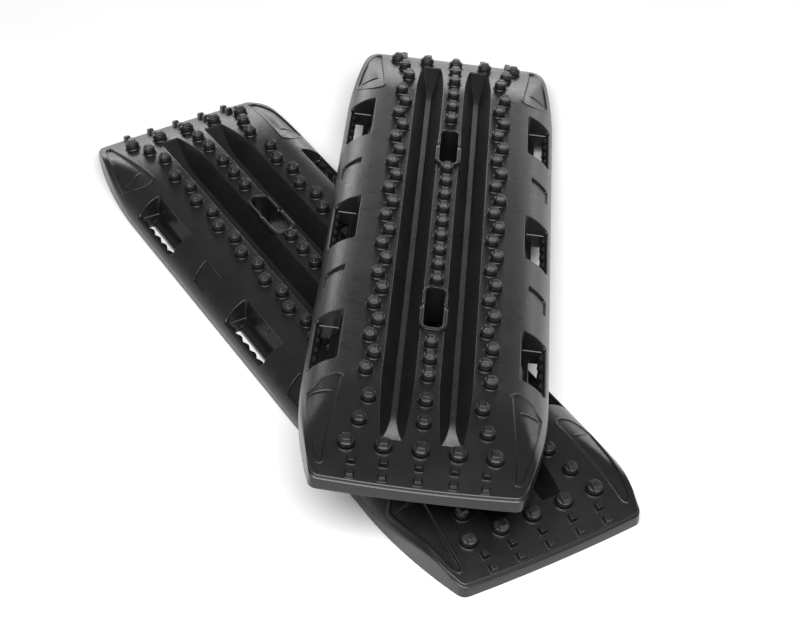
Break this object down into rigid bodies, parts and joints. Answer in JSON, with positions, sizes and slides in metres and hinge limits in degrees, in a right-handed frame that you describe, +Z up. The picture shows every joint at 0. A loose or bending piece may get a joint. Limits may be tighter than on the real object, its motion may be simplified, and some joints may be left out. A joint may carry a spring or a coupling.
{
  "type": "tire traction mats",
  "caption": "Long moulded traction boards with studded, channelled decks and side handholds, one leaning across the other, laid under a slipping tyre for grip.",
  "frame": {"origin": "centre of the lower board's underside, on the ground, at the foot of its middle cross rib", "axes": "+Z up, +Y along the lower board's length, +X across it to its right"},
  "size_m": [0.8481, 1.15, 0.168],
  "materials": {
    "deck_plastic": "satin black moulded nylon with a fine grain",
    "stud_black": "black coated, semi-gloss",
    "nut_steel": "zinc plated"
  },
  "bodies": {
    "lower_board": {"lower_deck": "deck_plastic", "lower_ridge_studs": "stud_black", "lower_left_land_studs": "stud_black", "lower_right_land_studs": "stud_black", "lower_near_end_studs": "stud_black", "lower_far_end_studs": "stud_black", "lower_ridge_nuts": "nut_steel", "lower_left_land_nuts": "nut_steel", "lower_right_land_nuts": "nut_steel", "lower_near_end_nuts": "nut_steel", "lower_far_end_nuts": "nut_steel"},
    "upper_board": {"upper_deck": "deck_plastic", "upper_ridge_studs": "stud_black", "upper_left_land_studs": "stud_black", "upper_right_land_studs": "stud_black", "upper_near_end_studs": "stud_black", "upper_far_end_studs": "stud_black", "upper_ridge_nuts": "nut_steel", "upper_left_land_nuts": "nut_steel", "upper_right_land_nuts": "nut_steel", "upper_near_end_nuts": "nut_steel", "upper_far_end_nuts": "nut_steel"}
  },
  "joints": [
    {"name": "lift_off", "type": "slide", "parent": "lower_board", "child": "upper_board", "axis": [0, 0, 1], "range_m": [0, 0.2]}
  ]
}
